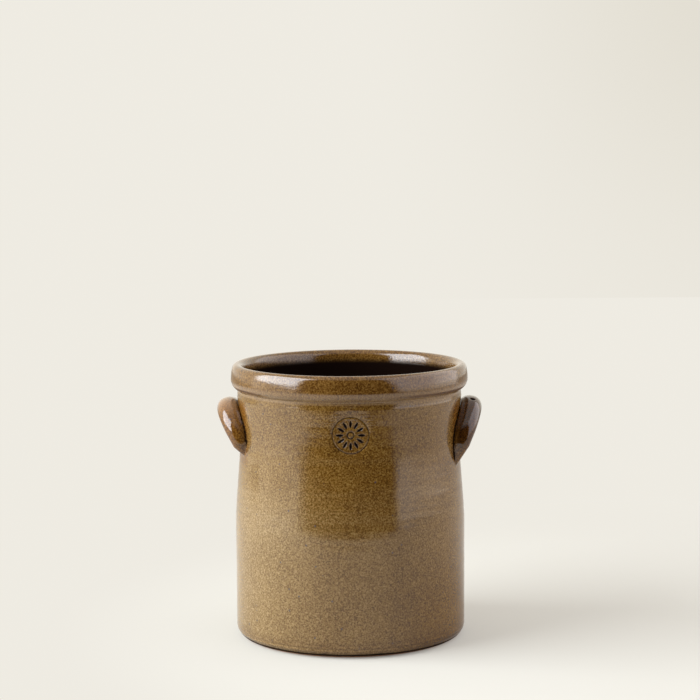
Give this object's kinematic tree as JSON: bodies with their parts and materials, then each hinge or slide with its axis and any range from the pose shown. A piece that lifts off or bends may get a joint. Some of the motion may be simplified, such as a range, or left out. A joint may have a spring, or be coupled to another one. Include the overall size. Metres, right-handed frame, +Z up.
{
  "type": "stoneware crock",
  "caption": "Round stoneware crock with a rolled rim, a narrowed neck and ear handles at the sides; holds kitchen utensils or food.",
  "frame": {"origin": "centre of the foot, on the table", "axes": "+Z up along the crock's axis, +X through the middle of one handle, -Y towards the front with the pressed seal"},
  "size_m": [0.2122, 0.19, 0.22],
  "materials": {
    "glazed_stoneware": "glossy mottled golden-brown salt glaze over stoneware"
  },
  "bodies": {
    "root": {"crock": "glazed_stoneware"}
  },
  "joints": []
}
